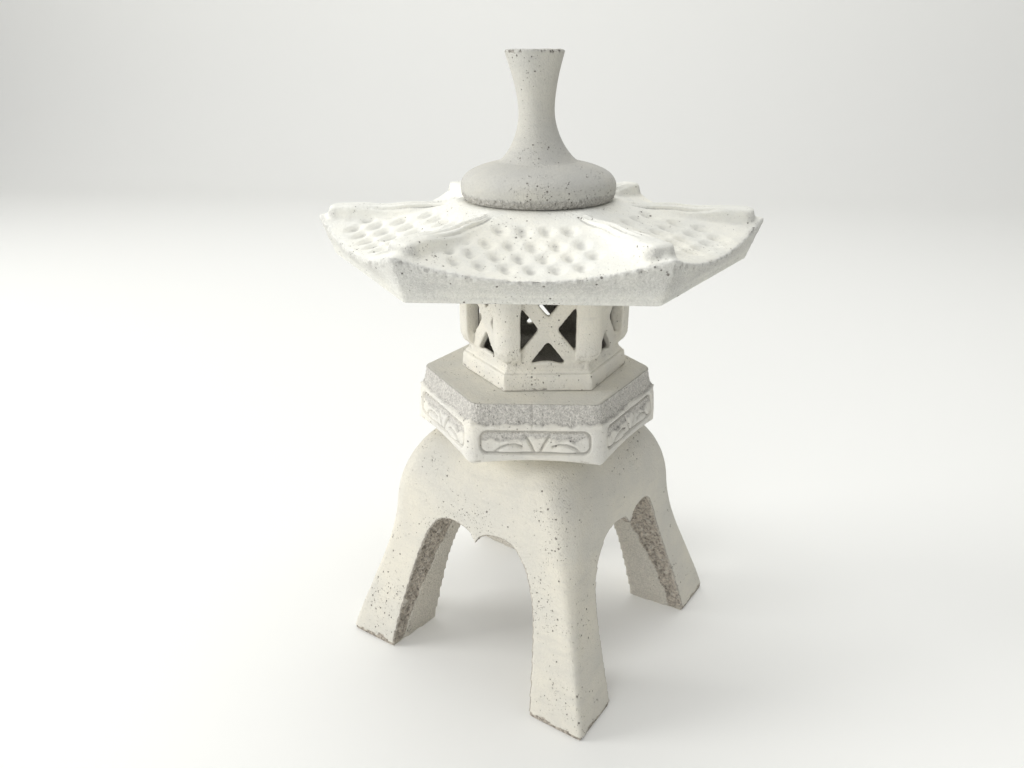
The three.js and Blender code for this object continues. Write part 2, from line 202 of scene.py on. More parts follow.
def plate_of(corners, depth, rounding=0.0):
    """A plate whose outline lies in X and Z, extruded along +Y."""
    bm = bmesh.new()
    outline = [bm.verts.new((x, 0, z)) for x, z in corners]
    bm.faces.new(outline)
    if rounding:
        bmesh.ops.bevel(
            bm, geom=bm.verts, offset=rounding, segments=3, profile=0.5, affect="VERTICES", material=-1
        )
    pushed = bmesh.ops.extrude_face_region(bm, geom=bm.faces)["geom"]
    bmesh.ops.translate(bm, vec=(0, depth, 0), verts=new_verts(pushed))
    return bm


def add_to(target, bm, place):
    """Adds a bmesh to another one, moved by the matrix given."""
    bmesh.ops.transform(bm, matrix=place, verts=bm.verts)
    spare = bpy.data.meshes.new("spare")
    bm.to_mesh(spare)
    bm.free()
    target.from_mesh(spare)
    bpy.data.meshes.remove(spare)


def on_side(side, outwards):
    """Matrix that stands a plate (along X, up Z, depth Y) on a side, its back that far out."""
    turn = Matrix.Rotation(side * SIDE_ANGLE - math.pi / 2, 4, "Z")
    return turn @ Matrix.Translation((0, outwards, 0))


def side_place(point):
    """Where a point is on a six-sided piece: the side's number, the distance along the side
    from its middle, and the distance outwards from the axis."""
    side = round(math.atan2(point.y, point.x) / SIDE_ANGLE)
    angle = side * SIDE_ANGLE
    out = Vector((math.cos(angle), math.sin(angle), 0))
    along = Vector((-out.y, out.x, 0))
    return side % SIDES, point.dot(along), point.dot(out)


def carve(piece, rule):
    """Moves each vertex along its normal by the millimetres that rule(point, normal) gives, and
    keeps the two masks that it gives: how broken the cement is there, and how much of the sandy
    colour it takes, which is sand on most faces and painted shade on the arches' reveals and inside
    the chamber. A third mask says how far the vertex then stands proud of those round it, in
    millimetres."""
    bm = bmesh.new()
    bm.from_mesh(piece.data)
    bm.normal_update()
    moves = [rule(v.co, v.normal) for v in bm.verts]
    for v, (move, _, _) in zip(bm.verts, moves):
        v.co += v.normal * move
    bm.normal_update()
    bm.verts.index_update()
    beside = [[e.other_vert(v).index for e in v.link_edges] for v in bm.verts]
    bm.verts.ensure_lookup_table()
    worn = []
    for v, near in zip(bm.verts, beside):
        middle = sum((bm.verts[i].co for i in near), Vector()) / len(near)
        worn.append((v.co - middle).dot(v.normal))
    for _ in range(2):
        round_each = [sum(worn[i] for i in near) / len(near) for near in beside]
        worn = [0.4 * own + 0.6 * others for own, others in zip(worn, round_each)]
    bm.to_mesh(piece.data)
    bm.free()
    masks = {"broken": [m[1] for m in moves], "sand_and_shade": [m[2] for m in moves], "worn": worn}
    for name, values in masks.items():
        layer = piece.data.attributes.new(name, "FLOAT", "POINT")
        layer.data.foreach_set("value", values)


def stand(piece, node, material, turn=0.0, shift=(0, 0)):
    """Turns and shifts a finished piece as it stands in the stack, in metres, and hands it over
    to the body, the node and the finish that it stands for."""
    place = Matrix.Translation((shift[0], shift[1], 0)) @ Matrix.Rotation(math.radians(turn), 4, "Z")
    piece.data.transform(Matrix.Scale(MM, 4) @ place)
    piece.data.polygons.foreach_set("use_smooth", [True] * len(piece.data.polygons))
    piece.data.materials.clear()
    piece.data.materials.append(material)
    piece.data.update()
    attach(piece, node)
    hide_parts(node)


# ---- base on four legs

WAIST_HEIGHT = 102
WAIST_HALF = 70
BASE_TOP_HALF = 42
ARCH_HEIGHT = 101.5
ARCH_FOOT_HALF = 56
ARCH_LOBE_HALF = 22
ARCH_POINT_DROP = 9.5
ARCH_KNEE = (5, 39.5)  # how far the curve's knee is in from the foot, and below the top
ARCH_SHOULDER = 24  # how far its shoulder is in from the waist
ARCH_CUTS = 23
CUSP_START = 70  # the height from where the cusp may lean
ARCH_DRAFT = 0.16  # share of its width that an arch closes in by towards the middle
ARCH_DRAFT_RISE = 0.0021  # how much more of it for each millimetre up
CUSP_SHIFT = 8.0
FLARE_LOW = (FOOT_HALF - 8.5, 36)
FLARE_HIGH = (WAIST_HALF + 0.5, 68)
FOOT_CORNER = 2
TOP_CORNER = 22
CORNER_SHARE = 0.5  # of the starting cube, which its rounded corners take up
BASE_RINGS = 59
BAND_WIDTH = (10.5, 23)  # of the broken band, at the foot and over the arch
FOOT_CHIPS = (3.4, 0.9)  # how high they reach up a foot, and how deep they are
BASE_WAVES = ((0.4, 40, 0.0), (0.10, 11, 2.0), (0.07, 3.2, 3.0))


def base_ring(share):
    """Half width and height of the base: the flare up to the waist, then the shoulder."""
    if share <= 0.5:
        flare = [(FOOT_HALF, 0), FLARE_LOW, FLARE_HIGH, (WAIST_HALF, WAIST_HEIGHT)]
        t = 2 * share
        u = 1 - t
        weights = (u**3, 3 * u * u * t, 3 * u * t * t, t**3)
        return tuple(sum(w * p[i] for w, p in zip(weights, flare)) for i in (0, 1))
    angle = (share - 0.5) * math.pi
    half = BASE_TOP_HALF + (WAIST_HALF - BASE_TOP_HALF) * math.cos(angle)
    return half, WAIST_HEIGHT + (BASE_TOP - WAIST_HEIGHT) * math.sin(angle)


def base_half_at(height):
    """Half width of the base at a height."""
    low, high = 0.0, 1.0
    for _ in range(20):
        middle = (low + high) / 2
        if base_ring(middle)[1] < height:
            low = middle
        else:
            high = middle
    return base_ring(low)[0]


def is_upright(edge):
    a, b = (v.co for v in edge.verts)
    return abs(a.z - b.z) > abs(a.x - b.x) + abs(a.y - b.y)


def base_block():
    """The base before its arches are cut: a cube with rounded corners, drawn out ring by ring."""
    bm = bmesh.new()
    bmesh.ops.create_cube(bm, size=2)
    corners = [e for e in bm.edges if is_upright(e)]
    bmesh.ops.bevel(
        bm, geom=corners, offset=CORNER_SHARE, segments=8, profile=0.5, affect="EDGES", material=-1
    )
    uprights = [e for e in bm.edges if is_upright(e)]
    bmesh.ops.subdivide_edges(bm, edges=uprights, cuts=BASE_RINGS, use_grid_fill=True)
    for v in bm.verts:
        half, height = base_ring((v.co.z + 1) / 2)
        corner = blend(FOOT_CORNER, TOP_CORNER, (height / BASE_TOP) ** 2)
        for axis in (0, 1):
            unit = v.co[axis]
            straight = min(abs(unit) / (1 - CORNER_SHARE), 1) * (half - corner)
            rounded = max(abs(unit) - (1 - CORNER_SHARE), 0) / CORNER_SHARE * corner
            v.co[axis] = math.copysign(straight + rounded, unit)
        v.co.z = height
    return bm


def arch_tool(turn, cusp_shift):
    """The opening through two sides of the base. It closes in towards the middle, and its
    pointed cusp may be off the middle on the side that the opening comes out of last."""
    knee = (ARCH_FOOT_HALF - ARCH_KNEE[0], ARCH_HEIGHT - ARCH_KNEE[1])
    shoulder = (WAIST_HALF - ARCH_SHOULDER, ARCH_HEIGHT)
    lobe = (ARCH_LOBE_HALF, ARCH_HEIGHT)
    lobe_side = (ARCH_LOBE_HALF / 2, ARCH_HEIGHT)
    point_side = (ARCH_LOBE_HALF / 4, ARCH_HEIGHT - 2)
    point = (0, ARCH_HEIGHT - ARCH_POINT_DROP)
    half = [Vector((ARCH_FOOT_HALF, 0))]
    half += bezier([half[0], knee, shoulder, lobe], CURVE_STEPS)
    half += bezier([lobe, lobe_side, point_side, point], 10)
    left = [Vector((-p.x, p.y)) for p in reversed(half[:-1])]
    outline = [(ARCH_FOOT_HALF, -PAST), *half, *left, (-ARCH_FOOT_HALF, -PAST)]
    reach = FOOT_HALF + PAST
    bm = plate_of(outline, 2 * reach)
    bmesh.ops.translate(bm, vec=(0, -reach, 0), verts=bm.verts)
    through = [e for e in bm.edges if abs(e.verts[0].co.y - e.verts[1].co.y) > reach]
    bmesh.ops.subdivide_edges(bm, edges=through, cuts=ARCH_CUTS, use_grid_fill=True)
    for v in bm.verts:
        inwards = 1 - min(abs(v.co.y) / FOOT_HALF, 1)
        draft = ARCH_DRAFT + ARCH_DRAFT_RISE * max(v.co.z, 0)
        v.co.x *= 1 - inwards * draft
        near_top = ease(CUSP_START, ARCH_HEIGHT, v.co.z) * (1 - abs(v.co.x) / ARCH_FOOT_HALF)
        v.co.x += cusp_shift * near_top * ease(0, FOOT_HALF, -v.co.y)
    bmesh.ops.rotate(bm, matrix=Matrix.Rotation(turn, 3, "Z"), verts=bm.verts)
    return object_of("arch_tool", bm)


def broken_band(point, normal, half):
    """How much a point lies in the band of an arch's reveal where the mould's flash was broken
    off, how much behind that band, and how clear it is of the arris, each from 0 to 1. The band
    runs along the base's outer face and is wider over the arch."""
    inwards_x = -normal.x * math.copysign(1, point.x)
    inwards_y = -normal.y * math.copysign(1, point.y)
    if inwards_x > inwards_y:
        depth = half - abs(point.y)
    else:
        depth = half - abs(point.x)
    if -normal.z > max(inwards_x, inwards_y):
        depth = half - max(abs(point.x), abs(point.y))
    reveal = ease(0.1, 0.5, max(inwards_x, inwards_y, -normal.z)) * ease(0.3, 1.5, point.z)
    width = blend(*BAND_WIDTH, ease(5, 95, point.z))
    width += 1.8 * lumps(point, 9, 3.0) + 0.8 * lumps(point, 3.5, 1.0)
    band = ease(-0.6, 0.6, depth) * (1 - ease(width - 0.7, width + 0.7, depth))
    return reveal * band, reveal * (1 - band), ease(0.2, 3.0, depth)


def base_wear(point, normal):
    broken, behind, inset = 0.0, 0.0, 0.0
    if point.z < ARCH_HEIGHT + 4:
        broken, behind, inset = broken_band(point, normal, base_half_at(point.z))
    outer = ease(0.2, 0.6, normal.x * math.copysign(1, point.x))
    outer += ease(0.2, 0.6, normal.y * math.copysign(1, point.y))
    chip_height, chip_depth = FOOT_CHIPS
    ragged = chip_height + 2.4 * rubble(point, 9, 5.0)
    chips = ease(ragged + 0.4, ragged - 0.4, point.z) * min(outer, 1)
    crumbs = 0.8 + 1.5 * rubble(point, 7, 1.0) + 1.1 * lumps(point, 2.9, 4.0)
    seated = 1 - ease(0.9, 0.98, abs(normal.z)) * ease(BASE_TOP - 3, BASE_TOP - 1, point.z)
    grounded = 1 - ease(-0.7, -0.95, normal.z) * ease(1.5, 0.2, point.z)
    move = waves(point, BASE_WAVES) * seated - broken * inset * crumbs - chip_depth * chips
    # the third mask paints shade on the arches' reveals behind the broken band, in the sandy colour
    return move * grounded, max(broken, 0.7 * chips), 0.6 * behind


def make_base(material):
    base = object_of("base_casting", base_block())
    cut_away(base, arch_tool(turn=0.0, cusp_shift=0.0))
    cut_away(base, arch_tool(turn=math.pi / 2, cusp_shift=CUSP_SHIFT))
    cast_skin(base, cell=1.3, rounds=2)
    carve(base, base_wear)
    stand(base, "legged_base", material)


# ---- collar

COLLAR_TURN = 2.4
COLLAR_TOP_RADIUS = 73.6
COLLAR_FRAME_RADIUS = 79
COLLAR_BAND_FOOT = COLLAR_TOP - 12.6
COLLAR_FOOT_RISE = 2.7
COLLAR_CORNER = 4.2
COLLAR_WAVES = ((0.15, 14, 0.0), (0.08, 3, 2.0))
PANEL_LOW = COLLAR_FOOT + 7.2
PANEL_HIGH = COLLAR_TOP - 15.4
PANEL_HALF = 33
PANEL_CORNER = 5
GROOVE_WIDTH = 1.5
GROOVE_DEPTH = 2.1
SEAMED_SIDE = 5  # the side where two faint seams cross the band
SEAMS = ((-1.8, 1.0), (4.6, 0.6))  # how far along that side each is, and how deep
LEAF_MIDDLE = 1.2  # the carving's middle, a little off the panel's
WEDGE_SIDE = ((7.6, 5.2), (3.4, -2.4), (0.9, -7.4))
LEAF_RIM = ((24.5, -5.6), (21.5, -2.9), (17.5, -1.3), (13.0, -1.0), (9.0, -2.6))
LEAF_VEIN = ((20.0, 3.6), (16.0, 1.2), (11.0, 1.0))
WEDGE_DEPTH = 2.1
RIM_DEPTH = 1.7
VEIN_DEPTH = 0.8
LEAF_START = 8
LEAF_LENGTH = 18
LEAF_PLUMP = 0.9
LINTEL_DEPTH = 0.75


def rounded_box_distance(x, y, half_x, half_y, corner):
    """Distance from the edge of a rounded rectangle, negative inside it."""
    dx = abs(x) - (half_x - corner)
    dy = abs(y) - (half_y - corner)
    outside = math.hypot(max(dx, 0), max(dy, 0))
    return outside + min(max(dx, dy), 0) - corner


def off_line(x, y, line):
    """Shortest distance from a point to a line of straight pieces."""
    nearest = 99.0
    for (ax, ay), (bx, by) in zip(line, line[1:]):
        run = Vector((bx - ax, by - ay))
        share = Vector((x - ax, y - ay)).dot(run) / run.length_squared
        share = min(max(share, 0.0), 1.0)
        nearest = min(nearest, math.hypot(x - ax - share * run.x, y - ay - share * run.y))
    return nearest


def panel_relief(s, up, side):
    """Height of the carving in a panel, in millimetres against its face: a wedge between two
    leaves under a sunk, sandy lintel. up is from the panel's middle. Also how sandy it is."""
    wobble = 0.6 * lumps(Vector((s, up, 9 * side)), 6)
    beside = abs(s - LEAF_MIDDLE) + wobble
    cut = WEDGE_DEPTH * ease(1.3, 0.1, off_line(beside, up, WEDGE_SIDE))
    cut = max(cut, RIM_DEPTH * ease(1.2, 0.1, off_line(beside, up, LEAF_RIM)))
    cut = max(cut, VEIN_DEPTH * ease(1.0, 0.1, off_line(beside, up, LEAF_VEIN)))
    scallop = 1.5 + 0.7 * math.cos(beside * 0.5 + side) + 1.7 * lumps(Vector((s, up, 5 * side)), 4.2)
    inner = ease(LEAF_START, LEAF_START - 1.5, beside)
    lintel = ease(scallop - 0.35, scallop + 0.35, up - 1.6 * inner)
    leaf = min(max((beside - LEAF_START) / LEAF_LENGTH, 0), 1)
    plump = LEAF_PLUMP * math.sin(math.pi * leaf) * (1 - lintel)
    return plump - cut * (1 - 0.5 * lintel) - LINTEL_DEPTH * lintel, lintel


def collar_wear(point, normal):
    side, s, _ = side_place(point)
    up = point.z - (PANEL_LOW + PANEL_HIGH) / 2
    half_high = (PANEL_HIGH - PANEL_LOW) / 2
    facing = ease(0.55, 0.8, math.hypot(normal.x, normal.y))
    rim = rounded_box_distance(s, up, PANEL_HALF, half_high, PANEL_CORNER)
    inside = ease(0.25, -0.55, rim)
    plaque = ease(-GROOVE_WIDTH + 0.5, -GROOVE_WIDTH - 0.5, rim)
    relief, lintel = panel_relief(s, up, side) if plaque * facing > 0 else (0.0, 0.0)
    carved = facing * inside * (-GROOVE_DEPTH * (1 - plaque) + plaque * (relief - 0.25))
    edge = COLLAR_BAND_FOOT + 0.4 + 1.5 * lumps(point, 8, side) + 0.8 * lumps(point, 2.5)
    edge += 1.5 * ease(30, 37, abs(s))
    sand_and_shade = ease(edge - 0.4, edge + 0.4, point.z) * facing
    ledge = -0.55 * sand_and_shade * ease(COLLAR_TOP - 0.5, COLLAR_TOP - 3, point.z)
    sand_and_shade = max(sand_and_shade, 0.85 * facing * plaque * lintel)
    curd = facing * 0.5 * ease(1.5, 0.2, abs(point.z - edge + 1.0)) * (0.5 + lumps(point, 5, 7.0))
    sand = sand_and_shade * 0.3 * lumps(point, 1.9, 5.0)
    chips = facing * ease(0.2, 0.6, rubble(point, 5, 9.0)) * ease(2.5, 0.3, point.z - COLLAR_FOOT - 2)
    seams = sum(depth * ease(0.75, 0.2, abs(s - place)) for place, depth in SEAMS)
    on_band = ease(COLLAR_BAND_FOOT - 2, COLLAR_BAND_FOOT - 1, point.z)
    seam = -0.55 * seams * facing * on_band if side == SEAMED_SIDE else 0.0
    move = carved + ledge + waves(point, COLLAR_WAVES) * facing + sand + curd + seam - 0.6 * chips
    return move, 0.4 * chips, sand_and_shade


def lift_foot(piece):
    """Arches the collar's lower edge up a little between its corners."""
    for v in piece.data.vertices:
        _, s, out = side_place(v.co)
        across = min(abs(s) / max(out * HALF_SIDE, 1), 1)
        near = ease(9, 0, v.co.z - COLLAR_FOOT) * ease(52, 62, out)
        v.co.z += COLLAR_FOOT_RISE * (1 - across * across) * near


def bevel_corners(bm, offset, low, high):
    """Rounds the edges that run up a six-sided piece's corners, between two heights."""
    corners = []
    for e in bm.edges:
        middle = (e.verts[0].co + e.verts[1].co) / 2
        if is_upright(e) and low < middle.z < high:
            corners.append(e)
    bmesh.ops.bevel(
        bm, geom=corners, offset=offset, segments=5, profile=0.5, affect="EDGES", material=-1
    )


def make_collar(material):
    bm = ring_stack(
        [
            (COLLAR_FRAME_RADIUS - 1.6, COLLAR_FOOT),
            (COLLAR_FRAME_RADIUS, COLLAR_FOOT + 1.6),
            (COLLAR_FRAME_RADIUS, COLLAR_FOOT + 9),
            (COLLAR_FRAME_RADIUS - 0.8, COLLAR_BAND_FOOT - 5),
            (COLLAR_TOP_RADIUS + 3.8, COLLAR_BAND_FOOT - 0.6),
            (COLLAR_TOP_RADIUS + 2.6, COLLAR_BAND_FOOT + 0.6),
            (COLLAR_TOP_RADIUS + 1.0, COLLAR_TOP - 4),
            (COLLAR_TOP_RADIUS, COLLAR_TOP),
        ]
    )
    bevel_corners(bm, COLLAR_CORNER, COLLAR_FOOT, COLLAR_TOP)
    collar = object_of("collar_casting", bm)
    cast_skin(collar, cell=0.76, rounds=1)
    lift_foot(collar)
    carve(collar, collar_wear)
    stand(collar, "collar", material, turn=COLLAR_TURN)


# ---- light chamber

CHAMBER_TURN = 5.5
CHAMBER_SHIFT = (2.7, 4.2)
CHAMBER_RADIUS = 54.5
CHAMBER_INNER_RADIUS = 43.5
CHAMBER_FLOOR = 10.5
WINDOW_HALF = 16
WINDOW_LOW = CHAMBER_FOOT + 16.3
WINDOW_HIGH = CHAMBER_TOP - 13.6
WINDOW_RECESS = 4.4
LATTICE_ARM = 10.0
PANE_DEPTH = 8
LATTICE_SLACK = 2  # how far an opening's tool starts inside the wall
OPENING_DRAFT = 1.22  # how much wider an opening is at its inner end
PLINTH_HEIGHT = 11.4
POST_CORNER = 6.0
POST_START = 14  # how far along a side, from its middle, a corner post begins
POST_WIDTH = 26  # of a post, right round its corner
POST_SWELL = 1.3
SILL_HUMP = 1.7
CHAMBER_WAVES = ((0.25, 12, 0.0), (0.13, 2.6, 4.0))


def lattice_openings():
    """Corners of the four openings that the crossed arms leave in a window."""
    middle = (WINDOW_LOW + WINDOW_HIGH) / 2
    half = (WINDOW_HIGH - WINDOW_LOW) / 2
    diagonal = math.hypot(WINDOW_HALF, half)
    up = LATTICE_ARM / 2 * diagonal / WINDOW_HALF
    level = LATTICE_ARM / 2 * diagonal / half
    foot = WINDOW_HALF - level
    tall = half - up
    edge = WINDOW_HALF + 0.4
    return [
        [(-foot, WINDOW_LOW), (foot, WINDOW_LOW), (0, middle - up)],
        [(foot, WINDOW_HIGH), (-foot, WINDOW_HIGH), (0, middle + up)],
        [(edge, middle - tall), (edge, middle + tall), (level, middle)],
        [(-edge, middle + tall), (-edge, middle - tall), (-level, middle)],
    ]


def window_tools():
    """One tool for the panes in front of the lattice and one for the openings through it."""
    outer = CHAMBER_RADIUS * CORNER_TO_FLAT
    inner = CHAMBER_INNER_RADIUS * CORNER_TO_FLAT
    pane = [(-WINDOW_HALF, WINDOW_LOW), (WINDOW_HALF, WINDOW_LOW)]
    pane += [(WINDOW_HALF, WINDOW_HIGH), (-WINDOW_HALF, WINDOW_HIGH)]
    panes = bmesh.new()
    holes = bmesh.new()
    for side in range(SIDES):
        add_to(panes, plate_of(pane, PANE_DEPTH, rounding=2.2), on_side(side, outer - WINDOW_RECESS))
        for corners in lattice_openings():
            opening = plate_of(corners, outer - inner + 3 * LATTICE_SLACK, rounding=1.6)
            middle = sum((v.co for v in opening.verts), Vector()) / len(opening.verts)
            for v in opening.verts:
                if v.co.y < middle.y:
                    v.co.x = middle.x + (v.co.x - middle.x) * OPENING_DRAFT
                    v.co.z = middle.z + (v.co.z - middle.z) * OPENING_DRAFT
            add_to(holes, opening, on_side(side, inner - LATTICE_SLACK))
    return object_of("panes", panes), object_of("holes", holes)


def chamber_wear(point, normal):
    _, s, out = side_place(point)
    up = point.z - CHAMBER_FOOT
    facing = ease(0.5, 0.8, math.hypot(normal.x, normal.y))
    inner = CHAMBER_INNER_RADIUS * CORNER_TO_FLAT
    outside = ease(inner + 1, inner + 3, out)
    post = ease(POST_START, POST_START + 6, abs(s)) * outside
    across = min(max((abs(s) - POST_START) / POST_WIDTH, 0), 1)
    swell = POST_SWELL * post * math.sin(math.pi * across) * ease(15, 24, up) * facing
    pitted = ease(12, 1.5, abs(up - 19)) * post * ease(0.1, 0.35, rubble(point, 2.4, 3.0))
    lip = ease(3.4, 0.2, up) * ease(0.05, 0.45, rubble(point, 5, 8.0)) * facing * outside
    line = -1.1 * facing * outside * ease(1.0, 0.1, abs(up - PLINTH_HEIGHT + 0.4))
    seated = ease(0.6, 1.6, up) * ease(CHAMBER_TOP - 0.4, CHAMBER_TOP - 1.4, point.z)
    sill = ease(0.5, 0.9, normal.z) * ease(3.5, 0.5, abs(point.z - WINDOW_LOW)) * outside
    hump = SILL_HUMP * sill * ease(10.5, 2, abs(s + 1))
    move = (waves(point, CHAMBER_WAVES) + line + swell) * seated - 0.45 * pitted - lip + hump
    # indoors paints shade on the chamber's inner faces and floor, in its dark sandy colour; lattice_grey
    # greys all above the plinth a little
    indoors = ease(inner + 2.5, inner + 0.5, out) * ease(CHAMBER_FLOOR - 1, CHAMBER_FLOOR, up)
    lattice_grey = 0.17 * ease(PLINTH_HEIGHT, PLINTH_HEIGHT + 3, up)
    return move, max(0.3 * pitted, 0.45 * lip), max(indoors, lattice_grey)


def make_chamber(material):
    plinth = CHAMBER_FOOT + PLINTH_HEIGHT
    bm = ring_stack(
        [
            (CHAMBER_RADIUS - 0.9, CHAMBER_FOOT),
            (CHAMBER_RADIUS - 1.9, plinth - 1.6),
            (CHAMBER_RADIUS - 2.9, plinth - 0.4),
            (CHAMBER_RADIUS - 5.2, plinth + 0.8),
            (CHAMBER_RADIUS - 6.0, plinth + 2.4),
            (CHAMBER_RADIUS - 5.6, plinth + 4.4),
            (CHAMBER_RADIUS - 3.4, plinth + 6.2),
            (CHAMBER_RADIUS - 1.2, plinth + 8.4),
            (CHAMBER_RADIUS, plinth + 12.0),
            (CHAMBER_RADIUS, CHAMBER_TOP),
        ]
    )
    bevel_corners(bm, POST_CORNER, plinth + 4, CHAMBER_TOP)
    chamber = object_of("chamber_casting", bm)
    floor = (CHAMBER_INNER_RADIUS, CHAMBER_FOOT + CHAMBER_FLOOR)
    open_top = (CHAMBER_INNER_RADIUS, CHAMBER_TOP + 5)
    cut_away(chamber, object_of("hollow", ring_stack([floor, open_top])))
    panes, holes = window_tools()
    cut_away(chamber, panes)
    cut_away(chamber, holes)
    cast_skin(chamber, cell=0.85, rounds=2)
    carve(chamber, chamber_wear)
    stand(chamber, "light_chamber", material, turn=CHAMBER_TURN, shift=CHAMBER_SHIFT)


# ---- roof

ROOF_TURN = 1.0
ROOF_RADIUS = 136.5
CROWN_RADIUS = 56
EAVE_HEIGHT = 14.2
EAVE_KINK = 5.5
EAVE_SETBACK = (9.5, 7.7)  # of the fascia's foot and of its kink, from the eave's tip
EAVE_LIFT = 11.5
PANEL_SAG = 2.2
CROWN_DROP = 1.6
ROOF_RINGS = 26
ROOF_CUTS = 23
ROOF_WAVES = ((0.35, 24, 0.0), (0.14, 5, 3.0), (0.11, 2.3, 1.0))
RIDGE_START = 55
RIDGE_END = 128
RIDGE_END_ROUND = 5.5
RIDGE_HALF = (4.6, 7.6)  # half its width, where it leaves the crown and at its end
STRAND_DEPTH = 1.7
DIMPLE_DEPTH = 2.2
DIMPLE_PITCH = 12.4
DIMPLE_HALF = 5.3  # half its width
DIMPLE_REACH = (7.4, 5.4)  # from its middle, outwards and inwards
DIMPLE_SHIFT = -5.5
DIMPLE_ROWS = ((64, 5), (79, 6), (92, 7), (104, 6))  # distance out from the axis, and how many


def outwards_at(radius):
    return max(radius - CROWN_RADIUS, 0) / (ROOF_RADIUS - CROWN_RADIUS)


def panel_height(radius):
    share = outwards_at(radius)
    slope = blend(ROOF_CROWN - CROWN_DROP, ROOF_FOOT + EAVE_HEIGHT, share)
    return slope - PANEL_SAG * math.sin(math.pi * share)


def hip_height(radius):
    return panel_height(radius) + EAVE_LIFT * outwards_at(radius)


def roof_shell():
    foot_back, kink_back = EAVE_SETBACK
    profile = [(ROOF_RADIUS - foot_back, ROOF_FOOT), (ROOF_RADIUS - kink_back, ROOF_FOOT + EAVE_KINK)]
    for ring in range(ROOF_RINGS + 1):
        radius = blend(ROOF_RADIUS, CROWN_RADIUS, ring / ROOF_RINGS)
        profile.append((radius, panel_height(radius)))
    profile.append((CROWN_RADIUS - 3.2, ROOF_CROWN))
    bm = ring_stack(profile, cuts=ROOF_CUTS)
    for v in bm.verts:
        if v.co.z < ROOF_FOOT + EAVE_KINK + 0.1:
            continue
        _, s, out = side_place(v.co)
        across = s / (out * HALF_SIDE)
        v.co.z += EAVE_LIFT * across * across * outwards_at(out / CORNER_TO_FLAT)
    return bm


def hip_place(point):
    """Distance out along the nearest hip, and off it to the left."""
    hip = (math.floor(math.atan2(point.y, point.x) / SIDE_ANGLE) + 0.5) * SIDE_ANGLE
    along = point.x * math.cos(hip) + point.y * math.sin(hip)
    return along, point.y * math.cos(hip) - point.x * math.sin(hip)


def ridge_bend(along):
    """A ridge's sideways sweep off its hip: out one way in the middle and back at its end."""
    return 1.6 * math.sin(math.pi * ease(58, 112, along)) - 0.8 * ease(104, RIDGE_END, along)


def raise_ridges(piece):
    """Draws the hips up into ridges: low and soft where they leave the crown, and a flat-topped
    scroll with steep sides at the end, a step above the eave's tip."""
    upward = [v.normal.z > 0.6 for v in piece.data.vertices]
    for v, faces_up in zip(piece.data.vertices, upward):
        along, off = hip_place(v.co)
        if along < RIDGE_START or not faces_up:
            continue
        off = off - ridge_bend(along)
        half_width = blend(*RIDGE_HALF, ease(58, 112, along))
        crest = blend(0.8, 4.3, ease(54, 84, along)) + 1.3 * ease(90, 112, along)
        fall = blend(4.2, 1.7, ease(76, 108, along))
        past = max(along - RIDGE_END + RIDGE_END_ROUND, 0) / RIDGE_END_ROUND
        beside = abs(off) / half_width
        reach = (past**3 + beside**3) ** (1 / 3) if past else beside
        rim = (reach - 1) * half_width
        camber = blend(2.4, 0.7, ease(86, 108, along)) * min(reach, 1.5) ** 2
        wanted = hip_height(along) + crest - camber
        v.co.z += max(wanted - v.co.z, 0) * ease(fall, -0.2 * fall, rim)


def dimples(s, out, side):
    """Depth of the thumb marks in rows across a roof panel."""
    deepest = 0.0
    for row, (reach, count) in enumerate(DIMPLE_ROWS):
        dy = out - reach
        if abs(dy) > 9:
            continue
        length = DIMPLE_REACH[0] if dy > 0 else DIMPLE_REACH[1]
        for mark in range(count):
            jitter = Vector((mark, row, side * 3.1))
            x = (mark - (count - 1) / 2) * DIMPLE_PITCH + DIMPLE_SHIFT + 1.0 * noise.noise(jitter * 1.37)
            dx = (s - x) / (DIMPLE_HALF + 0.5 * noise.noise(jitter * 2.1))
            along = (dy - 0.25 * (s - x)) / length
            near = dx * dx + along * along
            if near < 1:
                slant = 1 - 0.45 * dx
                deepest = max(deepest, slant * (1 - near) ** 1.15)
    return deepest


def strands(point):
    """Depth of the two grooves that part a ridge into three strands, and the distance off it."""
    along, off = hip_place(point)
    off -= ridge_bend(along)
    spread = 1.6 + 0.7 * ease(60, 100, along)
    reach = ease(52, 60, along) * ease(117, 98, along)
    groove = max(ease(1.3, 0.2, abs(off - spread)), ease(1.3, 0.2, abs(off + spread)))
    groove = max(groove, 0.7 * ease(1.3, 0.2, abs(abs(off) - 2.9 * spread)))
    return groove * reach, abs(off)


def roof_wear(point, normal):
    side, s, out = side_place(point)
    radius = out / CORNER_TO_FLAT
    upwards = ease(0.35, 0.7, normal.z)
    groove, off_hip = strands(point)
    on_panel = upwards * ease(8.5, 12.5, off_hip)
    marks = dimples(s, out, side) * on_panel
    facing = ease(0.4, 0.75, math.hypot(normal.x, normal.y)) * ease(108, 114, out)
    fascia = facing * ease(0.6, 0.2, normal.z)
    low_edge = fascia * ease(ROOF_FOOT + 5.4, ROOF_FOOT + 3.4, point.z + 1.2 * lumps(point, 6))
    arris = ease(2.2, 0.6, abs(radius - ROOF_RADIUS + 1.2)) * ease(ROOF_FOOT + 9, ROOF_FOOT + 12, point.z)
    chips = arris * ease(0.2, 0.6, rubble(point, 4.5, 6.0))
    fade = ease(CROWN_RADIUS - 6, CROWN_RADIUS + 4, radius)
    under = ease(-0.6, -0.9, normal.z)
    move = waves(point, ROOF_WAVES) * fade * (1 - under)
    move -= DIMPLE_DEPTH * marks + STRAND_DEPTH * groove * upwards
    move += low_edge * (0.9 * lumps(point, 2.1, 2.0) - 0.3) - 0.9 * chips
    move += fascia * 0.32 * lumps(point, 2.4, 6.0)
    sand_and_shade = max(0.8 * fascia * (0.75 + 0.25 * lumps(point, 18, 8.0)), 0.6 * under)
    return move, max(0.3 * low_edge, 0.3 * chips), max(sand_and_shade, 0.9 * low_edge, 0.5 * arris * facing)


